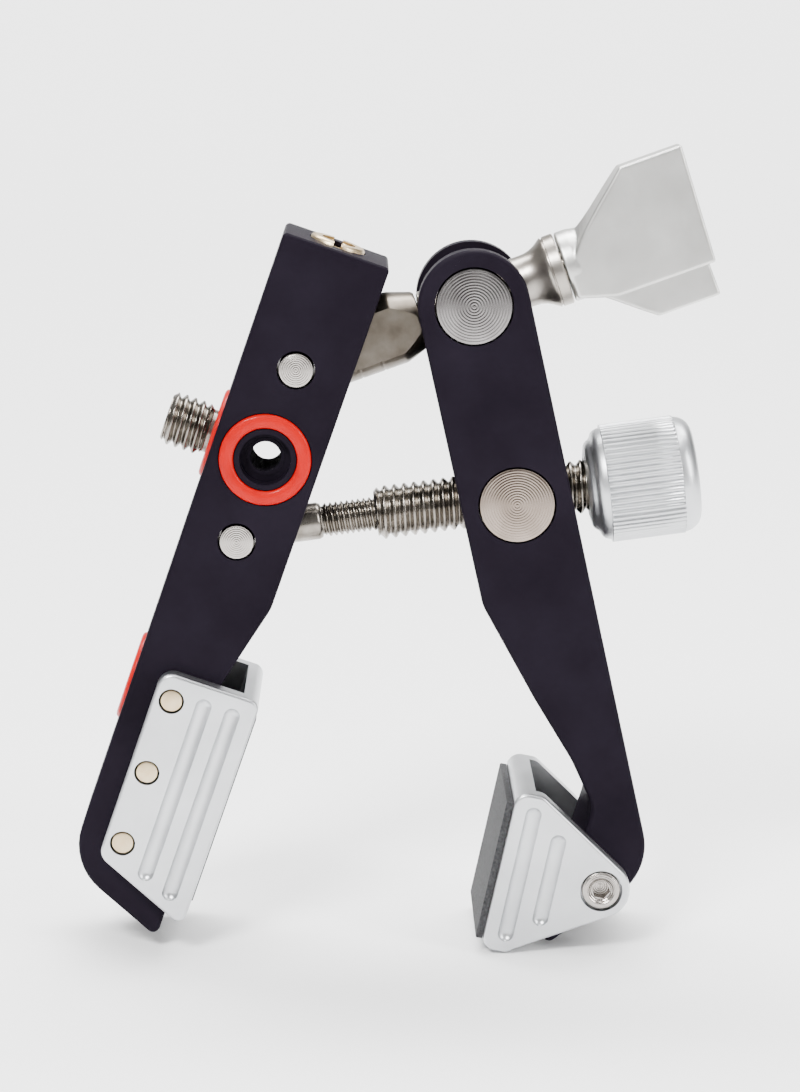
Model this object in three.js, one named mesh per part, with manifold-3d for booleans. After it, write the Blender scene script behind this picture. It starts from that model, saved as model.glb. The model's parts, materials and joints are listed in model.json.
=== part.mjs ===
// Super clamp: a fixed arm and a moving arm joined by two screws.
// Frame: +Z up, the clamp's flat side faces -Y, millimetres. The origin is the
// middle of the fixed jaw's gripping face.

import * as THREE from 'three';
import { mergeVertices } from 'three/addons/utils/BufferGeometryUtils.js';
import Module from 'manifold-3d';

const wasm = await Module();
wasm.setup();

// ---------- driving dimensions ----------

const degrees = Math.PI / 180;
const GAP = 0.3;                    // clearance between neighbouring pieces
const FINE = 32;                    // facets of a large round
const COARSE = 20;                  // facets of a small round

// Pose of the clamp, fully open
const FIXED_LEAN = 19.3 * degrees;
const MOVING_LEAN = -12.5 * degrees;
const JAW_LEAN = 12.1 * degrees;
const LOWER_RISE = 7.4 * degrees;   // slope of the adjusting screw
const LOWER_SPAN = 49.5;            // lower pin to lower trunnion

// Arms: square bars, slotted for the two screws
const ARM_DEPTH = 18.6;
const SLOT_WIDTH = 10.6;
const FIXED_HALF_WIDTH = 9.6;
const FIXED_TOP = 54;
const UPPER_PIN_Z = 32.1;           // above the lower pin
const PORT_Z = 15.5;                // cross hole and spigot
const SIDE_PORT_Z = -31.3;
const MOVING_HALF_WIDTH = 9.7;
const TRUNNION_SPACING = 35.7;
const JAW_PIVOT_Z = -71.5;          // below the lower trunnion
const TOE_SLOPE = 23.6 * degrees;

// Round parts
const LINK_PIN_RADIUS = 3;
const TRUNNION_RADIUS = 6.6;
const TRUNNION_LENGTH = 18.4;
const RING_INNER = 5.6;
const RING_OUTER = 8;
const RING_SECTION = 0.75;          // half thickness of the ring
const GROOVE_DEPTH = 1;
const SPIGOT_RADIUS = 4.76;         // 3/8 inch stud
const SPIGOT_REACH = 9;
const BUSH_RADIUS = 4.9;
const PORT_RADIUS = 3.0;            // 1/4 inch thread, crest
const PORT_RECESS_RADIUS = 4.5;     // 3/8 inch thread, crest

// Screws
const SPINDLE_RADIUS = 3;
const LINK_RADIUS = 6.5;
const LINK_FLAT = 4.95;             // half distance across the link's flats
const LINK_MOUTH = 23.2;            // link's open end, from its pin
const LINK_BORE = 4.3;
const SPINDLE_TIP = 5.2;            // spindle's end, from the link's pin
const ROD_RADIUS = 3;
const SLEEVE_RADIUS = 4.75;
const SLEEVE_BORE = 3.35;
const SLEEVE_PLAY = 0.85;           // around the sleeve in the lower trunnion
const SLEEVE_START = 24.6;          // from the lower pin
const KNOB_START = 12.8;            // from the lower trunnion
const KNOB_RADIUS = 10.5;
const KNOB_END = 32.2;

// Jaw shoes: channels of one section
const SHOE_DEPTH = 25.4;
const SHOE_INNER = 19.4;
const FIXED_FACE = 13.2;            // gripping side, from the arm's axis
const FIXED_WEB = 3.2;
const FIXED_FACE_Z = -47;
const MOVING_FACE = 18.8;           // from the jaw's pivot
const MOVING_WEB = 3.6;
const SHOE_PIN_RADIUS = 1.95;
const SHOE_PIN_X = -1.8;
const SHOE_PIN_Z = [-30.2, -44.05, -57.9];
const PAD_THICKNESS = 1.2;
const FLUTE_RADIUS = 1.6;
const FLUTE_LIFT = 0.72;            // flute axis above the shoe's face

// ---------- solids ----------

function signedVolume(positions, triangles) {
  const a = new THREE.Vector3();
  const b = new THREE.Vector3();
  const c = new THREE.Vector3();
  let total = 0;
  for (let i = 0; i < triangles.length; i += 3) {
    a.fromArray(positions, 3 * triangles[i]);
    b.fromArray(positions, 3 * triangles[i + 1]);
    c.fromArray(positions, 3 * triangles[i + 2]);
    total += a.dot(b.cross(c)) / 6;
  }
  return total;
}

function solid(geometry) {
  const bare = geometry.clone();
  bare.deleteAttribute('normal');
  bare.deleteAttribute('uv');
  const merged = mergeVertices(bare);
  const positions = merged.attributes.position.array;
  const triangles = [];
  for (let i = 0; i < merged.index.count; i += 3) {
    const [a, b, c] = merged.index.array.slice(i, i + 3);
    if (a !== b && b !== c && c !== a) triangles.push(a, b, c);
  }
  if (signedVolume(positions, triangles) < 0) triangles.reverse();
  const mesh = new wasm.Mesh({
    numProp: 3,
    vertProperties: new Float32Array(positions),
    triVerts: new Uint32Array(triangles),
  });
  return new wasm.Manifold(mesh);
}

const join = (first, ...others) => others.reduce((whole, part) => whole.add(part), first);
const cut = (first, ...others) => others.reduce((whole, part) => whole.subtract(part), first);

// A plate whose outline is drawn in X and Z, between two depths
function plate(shape, frontY, backY, curveSegments = 12) {
  const geometry = new THREE.ExtrudeGeometry(shape, {
    depth: backY - frontY, bevelEnabled: false, curveSegments,
  });
  geometry.rotateX(Math.PI / 2);
  geometry.translate(0, backY, 0);
  return solid(geometry);
}

function block(lowX, highX, lowY, highY, lowZ, highZ) {
  const geometry = new THREE.BoxGeometry(highX - lowX, highY - lowY, highZ - lowZ);
  geometry.translate((lowX + highX) / 2, (lowY + highY) / 2, (lowZ + highZ) / 2);
  return solid(geometry);
}

// A turned piece: profile pairs are [distance along the axis, radius]
function turned(axis, profile, segments = FINE) {
  const points = profile.map(([along, radius]) => new THREE.Vector2(radius, along));
  const geometry = new THREE.LatheGeometry(points, segments);
  if (axis === 'x') geometry.rotateZ(-Math.PI / 2);
  if (axis === 'z') geometry.rotateX(Math.PI / 2);
  return geometry;
}

function rod(axis, radius, start, end, segments = FINE) {
  return turned(axis, [[start, 0], [start, radius], [end, radius], [end, 0]], segments);
}

const rodAt = (axis, radius, start, end, place, segments) =>
  solid(rod(axis, radius, start, end, segments).translate(...place));

// ---------- materials and placing ----------

function finish(color, roughness, metalness) {
  return new THREE.MeshStandardMaterial({ color, roughness, metalness });
}

const BLACK_ANODISED = finish(0x24212c, 0.45, 0.4);
const SATIN_ALUMINIUM = finish(0xd4d8dc, 0.4, 0.85);
const CAST_ALUMINIUM = finish(0xc9cac6, 0.5, 0.8);
const STEEL = finish(0xa9a49a, 0.3, 0.95);
const BRIGHT_STEEL = finish(0xc4c0ba, 0.25, 0.95);
const PALE_BRASS = finish(0xd9c8a2, 0.35, 0.9);
const RED = finish(0xe2332b, 0.45, 0);
const RUBBER = finish(0x3b3b3e, 0.9, 0);

const model = new THREE.Group();

function place(parent, originX, originZ, lean) {
  const group = new THREE.Group();
  group.position.set(originX, 0, originZ);
  group.rotation.y = lean;
  parent.add(group);
  return group;
}

function add(group, name, body, material) {
  const { vertProperties, triVerts } = body.getMesh();
  const geometry = new THREE.BufferGeometry();
  geometry.setAttribute('position', new THREE.BufferAttribute(vertProperties, 3));
  geometry.setIndex(new THREE.BufferAttribute(triVerts, 1));
  const mesh = new THREE.Mesh(geometry, material);
  mesh.name = name;
  group.add(mesh);
}

// Where a point of a leaning group lies, from the group's origin
function leaned(x, z, lean) {
  return [
    x * Math.cos(lean) + z * Math.sin(lean),
    z * Math.cos(lean) - x * Math.sin(lean),
  ];
}

// ---------- the layout of the four pivots ----------

const [faceX, faceZ] = leaned(FIXED_FACE + GAP, FIXED_FACE_Z, FIXED_LEAN);
const lowerPin = [-faceX, -faceZ];
const [pinRunX, pinRunZ] = leaned(0, UPPER_PIN_Z, FIXED_LEAN);
const upperPin = [lowerPin[0] + pinRunX, lowerPin[1] + pinRunZ];
const lowerTrunnion = [
  lowerPin[0] + LOWER_SPAN * Math.cos(LOWER_RISE),
  lowerPin[1] + LOWER_SPAN * Math.sin(LOWER_RISE),
];
const [armRunX, armRunZ] = leaned(0, TRUNNION_SPACING, MOVING_LEAN);
const upperTrunnion = [lowerTrunnion[0] + armRunX, lowerTrunnion[1] + armRunZ];
const [jawRunX, jawRunZ] = leaned(0, JAW_PIVOT_Z, MOVING_LEAN);
const jawPivot = [lowerTrunnion[0] + jawRunX, lowerTrunnion[1] + jawRunZ];
const linkX = upperTrunnion[0] - upperPin[0];
const linkZ = upperTrunnion[1] - upperPin[1];
const UPPER_RISE = Math.atan2(linkZ, linkX);
const UPPER_SPAN = Math.hypot(linkX, linkZ);

// ---------- fixed arm ----------

function fixedArmOutline() {
  const half = FIXED_HALF_WIDTH;
  const toe = -74.2;
  const shape = new THREE.Shape();
  shape.moveTo(-half + 1, FIXED_TOP);
  shape.lineTo(half - 1, FIXED_TOP);
  shape.quadraticCurveTo(half, FIXED_TOP, half, FIXED_TOP - 1);
  shape.lineTo(half, -7.5);
  shape.quadraticCurveTo(half, -10, 9, -12.4);
  shape.lineTo(5.6, -25.6);
  shape.lineTo(3, -36);
  shape.bezierCurveTo(1, -46, 1.4, -58, 6.4, -64.5);
  shape.quadraticCurveTo(half - 0.2, -67.5, half, -71.2);
  shape.quadraticCurveTo(half, toe, 6.8, toe + 1);
  const cornerZ = -65.9;
  const run = 7.2;
  shape.lineTo(-half + run * Math.cos(TOE_SLOPE), cornerZ - run * Math.sin(TOE_SLOPE));
  shape.quadraticCurveTo(-half, cornerZ + 0.6, -half, cornerZ + run);
  shape.lineTo(-half, FIXED_TOP - 1);
  shape.quadraticCurveTo(-half, FIXED_TOP, -half + 1, FIXED_TOP);
  return shape;
}

// Slot for the upper link, wide where the link swings up and out
function upperSlotOutline() {
  const reach = FIXED_HALF_WIDTH + 1;
  const shape = new THREE.Shape();
  shape.moveTo(-reach, 26.4);
  shape.lineTo(-4, 24.2);
  shape.lineTo(4, 24.2);
  shape.lineTo(reach, 28.6);
  shape.lineTo(reach, 50.2);
  shape.lineTo(5.6, 46.4);
  shape.lineTo(-reach, 46);
  return shape;
}

function lowerSlotOutline() {
  const reach = FIXED_HALF_WIDTH + 1;
  const shape = new THREE.Shape();
  shape.moveTo(-reach, -7.3);
  shape.lineTo(reach, -7.3);
  shape.lineTo(reach, 10.2);
  shape.lineTo(-1, 8);
  shape.lineTo(-reach, 8);
  return shape;
}

function ringGroove(axis, surface, outward, at) {
  const floor = surface - outward * GROOVE_DEPTH;
  const over = surface + outward;
  const profile = [
    [floor, RING_INNER - 0.2], [over, RING_INNER - 0.2],
    [over, RING_OUTER + 0.2], [floor, RING_OUTER + 0.2], [floor, RING_INNER - 0.2],
  ];
  return solid(turned(axis, profile).translate(...at));
}

function fixedArm() {
  const half = FIXED_HALF_WIDTH;
  const face = ARM_DEPTH / 2;
  const slot = SLOT_WIDTH / 2;
  const side = [0, 0, SIDE_PORT_Z];
  const port = [0, 0, PORT_Z];
  return cut(
    plate(fixedArmOutline(), -face, face),
    plate(upperSlotOutline(), -slot, slot),
    plate(lowerSlotOutline(), -slot, slot),
    block(-half - 1, -half + 6, -2.6, 2.6, -52.2, -41.8),
    rodAt('y', LINK_PIN_RADIUS + 0.25, -face - 1, face + 1, [0, 0, 0], COARSE),
    rodAt('y', LINK_PIN_RADIUS + 0.25, -face - 1, face + 1, [0, 0, UPPER_PIN_Z], COARSE),
    rodAt('y', PORT_RADIUS, -face - 1, face + 1, port, COARSE),
    rodAt('y', PORT_RECESS_RADIUS, -face - 1, -face + 4, port),
    rodAt('y', PORT_RECESS_RADIUS, face - 4, face + 1, port),
    ringGroove('y', -face, -1, port),
    ringGroove('y', face, 1, port),
    rodAt('x', SPIGOT_RADIUS + GAP, -half - 1, -half + 4.4, port),
    ringGroove('x', -half, -1, port),
    rodAt('x', 4.2, -half - 1, -half + 7, side),
    ringGroove('x', -half, -1, side),
    rodAt('z', BUSH_RADIUS + GAP, FIXED_TOP - 6, FIXED_TOP + 1, [0, 0, 0]),
    ...SHOE_PIN_Z.map((z) => rodAt('y', SHOE_PIN_RADIUS + 0.25, -face - 1, face + 1,
      [SHOE_PIN_X, 0, z], COARSE)),
  );
}

// ---------- pieces on the fixed arm ----------

// A rounded ring, half sunk in its groove
function ring(axis, surface, outward, at) {
  const middle = (RING_INNER + RING_OUTER) / 2;
  const halfWidth = (RING_OUTER - RING_INNER) / 2;
  const lift = surface - outward * (GROOVE_DEPTH - RING_SECTION - 0.15);
  const profile = [];
  for (let i = 0; i <= 8; i += 1) {
    const turn = 2 * Math.PI * (i % 8) / 8;
    profile.push([lift + RING_SECTION * Math.sin(turn), middle + halfWidth * Math.cos(turn)]);
  }
  return solid(turned(axis, profile).translate(...at));
}

function spigot() {
  const root = -FIXED_HALF_WIDTH + 4.1;
  const tip = -FIXED_HALF_WIDTH - SPIGOT_REACH;
  const neck = SPIGOT_RADIUS - 0.75;
  const profile = [
    [tip, 0], [tip, neck], [tip + 0.9, SPIGOT_RADIUS], [tip + 7, SPIGOT_RADIUS],
    [tip + 7.4, neck], [tip + 8.6, neck], [tip + 8.8, SPIGOT_RADIUS],
    [root, SPIGOT_RADIUS], [root, 0],
  ];
  const socket = solid(new THREE.CylinderGeometry(2.3, 2.3, 3, 6)
    .rotateZ(Math.PI / 2).translate(tip, 0, PORT_Z));
  return cut(solid(turned('x', profile).translate(0, 0, PORT_Z)), socket);
}

function topBush() {
  const top = FIXED_TOP + 0.7;
  const bottom = FIXED_TOP - 5.7;
  const profile = [
    [bottom, 3.2], [top, 3.2], [top, 4.5], [top - 0.4, BUSH_RADIUS],
    [bottom, BUSH_RADIUS], [bottom, 3.2],
  ];
  const notch = block(-0.8, 0.8, -6, 6, top - 1.6, top + 1);
  return cut(solid(turned('z', profile)), notch);
}

function shoeCorner(shape, x, z, radius, fromAngle, toAngle) {
  shape.absarc(x, z, radius, fromAngle, toAngle, true);
}

function fixedShoeOutline() {
  const left = -5.1;
  const right = FIXED_FACE;
  const top = -25.4;
  const slope = Math.tan(TOE_SLOPE);
  const shape = new THREE.Shape();
  shape.moveTo(left, -57.5);
  shoeCorner(shape, left + 3.4, top - 3.4, 3.4, Math.PI, Math.PI / 2);
  shoeCorner(shape, right - 1.8, top - 1.8, 1.8, Math.PI / 2, 0);
  const lowRight = -61.6 - slope * (right - left);
  shape.lineTo(right, lowRight + 2.6);
  shape.quadraticCurveTo(right, lowRight, right - 2.4, lowRight + 2.4 * slope);
  shape.lineTo(left + 3, -61.6 - 3 * slope);
  shape.quadraticCurveTo(left, -61.6, left, -57.5);
  return shape;
}

// One half-round flute along Z, between two end-cap centres
function flute(x, lowZ, highZ, surface, outward) {
  const geometry = new THREE.CapsuleGeometry(FLUTE_RADIUS, highZ - lowZ, 4, 14);
  geometry.rotateX(Math.PI / 2);
  return solid(geometry.translate(x, surface + outward * FLUTE_LIFT, (lowZ + highZ) / 2));
}

function flutes(rows) {
  const face = SHOE_DEPTH / 2;
  return rows.flatMap(([x, low, high]) => [
    flute(x, low, high, -face, -1),
    flute(x, low, high, face, 1),
  ]);
}

function fixedShoe() {
  const face = SHOE_DEPTH / 2;
  const inner = SHOE_INNER / 2;
  return cut(
    plate(fixedShoeOutline(), -face, face),
    block(-20, FIXED_FACE - FIXED_WEB, -inner, inner, -90, -10),
    block(FIXED_FACE - PAD_THICKNESS - GAP, FIXED_FACE + 5, -10.8, 10.8, -65.3, -28.7),
    ...flutes([[3.86, -61.9, -29.3], [9.1, -64, -29.3]]),
    ...SHOE_PIN_Z.map((z) => rodAt('y', SHOE_PIN_RADIUS + 0.25, -face - 1, face + 1,
      [SHOE_PIN_X, 0, z], COARSE)),
  );
}

function fixedPad() {
  return block(FIXED_FACE - PAD_THICKNESS, FIXED_FACE + GAP, -10.4, 10.4, -64.9, -29.1);
}

// ---------- links and screws ----------

// Eye at the pin, flats to fit the arm's slot, a bored barrel and a coned mouth
function linkSleeve() {
  const barrel = solid(turned('x', [
    [-6.4, 0], [-6.4, 3.6], [-3.4, LINK_RADIUS], [LINK_MOUTH - 4.6, LINK_RADIUS],
    [LINK_MOUTH, 4.95], [LINK_MOUTH, 0],
  ]));
  return cut(
    barrel,
    block(-8, LINK_MOUTH - 0.5, LINK_FLAT, 9, -9, 9),
    block(-8, LINK_MOUTH - 0.5, -9, -LINK_FLAT, -9, 9),
    rodAt('y', LINK_PIN_RADIUS + GAP, -9, 9, [0, 0, 0], COARSE),
    rodAt('x', LINK_BORE, SPINDLE_TIP - 0.6, LINK_MOUTH + 1, [0, 0, 0], COARSE),
  );
}

function eyeRod() {
  const eye = rodAt('y', 6, -LINK_FLAT, LINK_FLAT, [0, 0, 0]);
  const shank = solid(turned('x', [
    [2, 0], [2, 3.3], [14.6, 3.3], [15.2, 2.6], [16, ROD_RADIUS],
    [43.4, ROD_RADIUS], [44, 2.4], [44, 0],
  ], COARSE));
  return cut(join(eye, shank), rodAt('y', LINK_PIN_RADIUS + GAP, -9, 9, [0, 0, 0], COARSE));
}

// Runs from the eye rod, through the lower trunnion, into the knob
function adjustingSleeve() {
  const end = LOWER_SPAN + KNOB_END - 7;
  const outside = solid(turned('x', [
    [SLEEVE_START, 0], [SLEEVE_START, 3.7], [SLEEVE_START + 1, SLEEVE_RADIUS],
    [end, SLEEVE_RADIUS], [end, 0],
  ]));
  return cut(outside,
    rodAt('x', SLEEVE_BORE, SLEEVE_START - 1, LOWER_SPAN + 8, [0, 0, 0], COARSE));
}

function adjustingKnob() {
  const profile = [
    [KNOB_START, 0], [KNOB_START, 5.6], [13.2, 7.2], [14, 9.5], [16, KNOB_RADIUS],
    [29.4, KNOB_RADIUS], [30.2, 10.1], [31.6, 9.7], [KNOB_END, 8.6], [KNOB_END, 0],
  ];
  return cut(
    solid(turned('x', profile)),
    rodAt('x', SLEEVE_RADIUS + GAP, KNOB_START - 1, KNOB_END - 6.6, [0, 0, 0]),
    rodAt('y', 1.75, 3, 12, [22.5, 0, 0], COARSE),
  );
}

function grubScrew() {
  const body = rodAt('y', 1.5, SLEEVE_RADIUS + GAP, 9.6, [22.5, 0, 0], COARSE);
  const key = solid(new THREE.CylinderGeometry(0.85, 0.85, 3, 6).translate(22.5, 9.6, 0));
  return cut(body, key);
}

function trunnion(boreRadius) {
  const half = TRUNNION_LENGTH / 2;
  const pin = rodAt('y', TRUNNION_RADIUS, -half, half, [0, 0, 0]);
  return cut(pin, rodAt('x', boreRadius, -9, 9, [0, 0, 0]));
}

function spindle() {
  const tip = SPINDLE_TIP - UPPER_SPAN;
  return solid(turned('x', [
    [tip, 0], [tip, 2.4], [tip + 0.6, SPINDLE_RADIUS],
    [29, SPINDLE_RADIUS], [29, 0],
  ], COARSE));
}

function thrustCollar() {
  const start = LINK_MOUTH - UPPER_SPAN + 0.4;
  const end = -TRUNNION_RADIUS - 0.2;
  return cut(
    rodAt('x', 4.6, start, end, [0, 0, 0]),
    rodAt('x', SPINDLE_RADIUS + GAP, start - 1, end + 1, [0, 0, 0], COARSE),
  );
}

// Flared steel collar between the arm and the wing handle
function bellCollar() {
  const profile = [
    [7, 0], [7, 4.6], [10.4, 4.6], [12, 4.9], [13.2, 5.5], [14.3, 6.2], [14.9, 6.4],
    [16.8, 6.4], [16.8, 0],
  ];
  return cut(
    solid(turned('x', profile)),
    rodAt('x', SPINDLE_RADIUS + GAP, 5, 18, [0, 0, 0], COARSE),
  );
}

// Half of the wing handle's outline: a wing on one side, the hub's line on the other
function wingOutline(start, tip) {
  const shape = new THREE.Shape();
  shape.moveTo(start + 2, -6.3);
  shape.lineTo(start + 25.4, -6.3);
  shape.lineTo(start + 25.9, tip);
  shape.lineTo(start + 14.2, tip);
  shape.lineTo(start + 7.4, 8.6);
  shape.quadraticCurveTo(start + 5.2, 6.6, start + 2, 6.3);
  return shape;
}

function wingHandle() {
  const start = 16.8 + GAP;
  const hub = solid(turned('x', [
    [start, 0], [start, 6.4], [start + 3, 6.3], [start + 25.4, 5.4], [start + 25.4, 0],
  ]));
  const front = plate(wingOutline(start, 13.9), -5.6, -1.4);
  const back = plate(wingOutline(start, 13.9), -5.6, -1.4).rotate([180, 0, 0]);
  return cut(
    join(hub, front, back),
    rodAt('x', SPINDLE_RADIUS + GAP, start - 1, 29.4, [0, 0, 0], COARSE),
    rodAt('x', 4, start + 22.6, start + 30, [0, 0, 0], COARSE),
    rodAt('x', 1.8, 33, start + 24, [0, 0, 0], COARSE),
  );
}

function handleScrew() {
  const seat = 16.8 + GAP + 22.9;
  const body = join(
    rodAt('x', 3.6, seat, seat + 2.2, [0, 0, 0], COARSE),
    rodAt('x', 1.5, 33.4, seat + 0.5, [0, 0, 0], COARSE),
  );
  return cut(body, solid(new THREE.CylinderGeometry(1.45, 1.45, 3, 6)
    .rotateZ(Math.PI / 2).translate(seat + 2.2, 0, 0)));
}

// ---------- moving arm and jaw ----------

function movingArmOutline() {
  const half = MOVING_HALF_WIDTH;
  const shape = new THREE.Shape();
  shape.moveTo(half, -63.5);
  shape.lineTo(half, TRUNNION_SPACING);
  shape.absarc(0, TRUNNION_SPACING, half, 0, Math.PI, false);
  shape.lineTo(-half, -14.4);
  shape.quadraticCurveTo(-half, -17, -8.3, -19.4);
  shape.lineTo(-4.3, -35.2);
  shape.lineTo(-0.8, -46.2);
  shape.bezierCurveTo(2, -53.4, 1.4, -60.4, -4, -66.4);
  shape.quadraticCurveTo(-9.6, -71.4, -11.3, -76.2);
  shape.quadraticCurveTo(-12.2, -80.4, -8.8, -79.4);
  shape.lineTo(5.2, -73.2);
  shape.quadraticCurveTo(half, -70.8, half, -63.5);
  return shape;
}

function movingArm() {
  const half = MOVING_HALF_WIDTH;
  const face = ARM_DEPTH / 2;
  const slot = SLOT_WIDTH / 2;
  const bore = TRUNNION_RADIUS + GAP;
  return cut(
    plate(movingArmOutline(), -face, face, 20),
    block(-half - 1, half + 1, -slot, slot, TRUNNION_SPACING - 15, TRUNNION_SPACING + 15),
    block(-half - 1, half + 1, -slot, slot, -9.5, 9.5),
    rodAt('y', bore, -face - 1, face + 1, [0, 0, 0]),
    rodAt('y', bore, -face - 1, face + 1, [0, 0, TRUNNION_SPACING]),
    rodAt('y', 2.3, -face - 1, face + 1, [0, 0, JAW_PIVOT_Z], COARSE),
  );
}

function movingShoeOutline() {
  const eye = 5.2;
  const side = -MOVING_FACE;
  const shoulder = 15;
  const slope = 31 * degrees;
  const shape = new THREE.Shape();
  shape.moveTo(side, -shoulder + 2.4);
  shape.lineTo(side, shoulder - 2.4);
  shape.quadraticCurveTo(side, shoulder, side + 2.6, shoulder);
  shape.lineTo(side + 3.4, shoulder);
  shape.quadraticCurveTo(side + 4.4, shoulder, side + 5.4, shoulder - 0.9);
  shape.absarc(0, 0, eye, Math.PI / 2 - slope, -Math.PI / 2 + slope, true);
  shape.lineTo(side + 5.4, -shoulder + 0.9);
  shape.quadraticCurveTo(side + 4.4, -shoulder, side + 3.4, -shoulder);
  shape.lineTo(side + 2.6, -shoulder);
  shape.quadraticCurveTo(side, -shoulder, side, -shoulder + 2.4);
  return shape;
}

function movingShoe() {
  const face = SHOE_DEPTH / 2;
  const inner = SHOE_INNER / 2;
  const nutPocket = new THREE.CylinderGeometry(4.1, 4.1, 6, 6);
  return cut(
    plate(movingShoeOutline(), -face, face, 16),
    block(-MOVING_FACE + MOVING_WEB, 20, -inner, inner, -30, 30),
    ...flutes([[-15, -11.4, 11.4], [-9.55, -7.3, 7.3]]),
    rodAt('y', 2.3, -face - 1, face + 1, [0, 0, 0], COARSE),
    rodAt('y', 3.75, -face - 1, -face + 2.5, [0, 0, 0]),
    solid(nutPocket.translate(0, face - 2.4 + 3, 0)),
  );
}

function movingPad() {
  const outer = -MOVING_FACE - PAD_THICKNESS - 0.1;
  return block(outer, -MOVING_FACE - 0.1, -11.9, 11.9, -13.4, 12.6);
}

function pivotScrew() {
  const face = SHOE_DEPTH / 2;
  const head = rodAt('y', 3.45, -face + 0.1, -face + 2.2, [0, 0, 0]);
  const shank = rodAt('y', 2, -face + 1, face - 0.6, [0, 0, 0], COARSE);
  const key = solid(new THREE.CylinderGeometry(1.73, 1.73, 3, 6).translate(0, -face, 0));
  return cut(join(head, shank), key);
}

function pivotNut() {
  const face = SHOE_DEPTH / 2;
  const body = solid(new THREE.CylinderGeometry(3.75, 3.75, 1.9, 6).translate(0, face - 1.15, 0));
  return cut(body, rodAt('y', 2.3, 0, 20, [0, 0, 0], COARSE));
}

// ---------- assembly ----------

const armFace = ARM_DEPTH / 2;
const port = [0, 0, PORT_Z];
const fixedGroup = place(model, ...lowerPin, FIXED_LEAN);
add(fixedGroup, 'fixed_arm', fixedArm(), BLACK_ANODISED);
add(fixedGroup, 'spigot_stud', spigot(), STEEL);
add(fixedGroup, 'top_bush', topBush(), PALE_BRASS);
add(fixedGroup, 'front_port_ring', ring('y', -armFace, -1, port), RED);
add(fixedGroup, 'rear_port_ring', ring('y', armFace, 1, port), RED);
add(fixedGroup, 'spigot_ring', ring('x', -FIXED_HALF_WIDTH, -1, port), RED);
add(fixedGroup, 'side_port_ring', ring('x', -FIXED_HALF_WIDTH, -1, [0, 0, SIDE_PORT_Z]), RED);
for (const [name, z] of [['lower_link_pin', 0], ['upper_link_pin', UPPER_PIN_Z]]) {
  const pin = rodAt('y', LINK_PIN_RADIUS, -armFace - 0.1, armFace + 0.1, [0, 0, z], COARSE);
  add(fixedGroup, name, pin, BRIGHT_STEEL);
}
add(fixedGroup, 'fixed_jaw_shoe', fixedShoe(), SATIN_ALUMINIUM);
add(fixedGroup, 'fixed_jaw_pad', fixedPad(), RUBBER);
SHOE_PIN_Z.forEach((z, i) => {
  const half = SHOE_DEPTH / 2 - 0.25;
  const pin = rodAt('y', SHOE_PIN_RADIUS, -half, half, [SHOE_PIN_X, 0, z], COARSE);
  add(fixedGroup, `jaw_rivet_${i + 1}`, pin, PALE_BRASS);
});

const upperLinkGroup = place(model, ...upperPin, -UPPER_RISE);
add(upperLinkGroup, 'link_sleeve', linkSleeve(), STEEL);

const lowerLinkGroup = place(model, ...lowerPin, -LOWER_RISE);
add(lowerLinkGroup, 'eye_rod', eyeRod(), STEEL);
add(lowerLinkGroup, 'adjusting_sleeve', adjustingSleeve(), STEEL);

const lowerTrunnionGroup = place(model, ...lowerTrunnion, -LOWER_RISE);
add(lowerTrunnionGroup, 'lower_trunnion', trunnion(SLEEVE_RADIUS + SLEEVE_PLAY), BRIGHT_STEEL);
add(lowerTrunnionGroup, 'adjusting_knob', adjustingKnob(), SATIN_ALUMINIUM);
add(lowerTrunnionGroup, 'knob_grub_screw', grubScrew(), STEEL);

const handleGroup = place(model, ...upperTrunnion, -UPPER_RISE);
add(handleGroup, 'upper_trunnion', trunnion(SPINDLE_RADIUS + GAP), BRIGHT_STEEL);
add(handleGroup, 'clamp_spindle', spindle(), STEEL);
add(handleGroup, 'thrust_collar', thrustCollar(), STEEL);
add(handleGroup, 'bell_collar', bellCollar(), STEEL);
add(handleGroup, 'wing_handle', wingHandle(), CAST_ALUMINIUM);
add(handleGroup, 'handle_screw', handleScrew(), STEEL);

const movingGroup = place(model, ...lowerTrunnion, MOVING_LEAN);
add(movingGroup, 'moving_arm', movingArm(), BLACK_ANODISED);

const jawGroup = place(model, ...jawPivot, JAW_LEAN);
add(jawGroup, 'moving_jaw_shoe', movingShoe(), SATIN_ALUMINIUM);
add(jawGroup, 'moving_jaw_pad', movingPad(), RUBBER);
add(jawGroup, 'jaw_pivot_screw', pivotScrew(), BRIGHT_STEEL);
add(jawGroup, 'jaw_pivot_nut', pivotNut(), STEEL);

export default model;
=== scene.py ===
"""Looks of a super clamp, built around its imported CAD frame.

Pieces are measured in millimetres, each in the frame of its own member of the clamp.
"""

import json
import math

import bmesh
import bpy
from mathutils import Matrix, Vector


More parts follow.
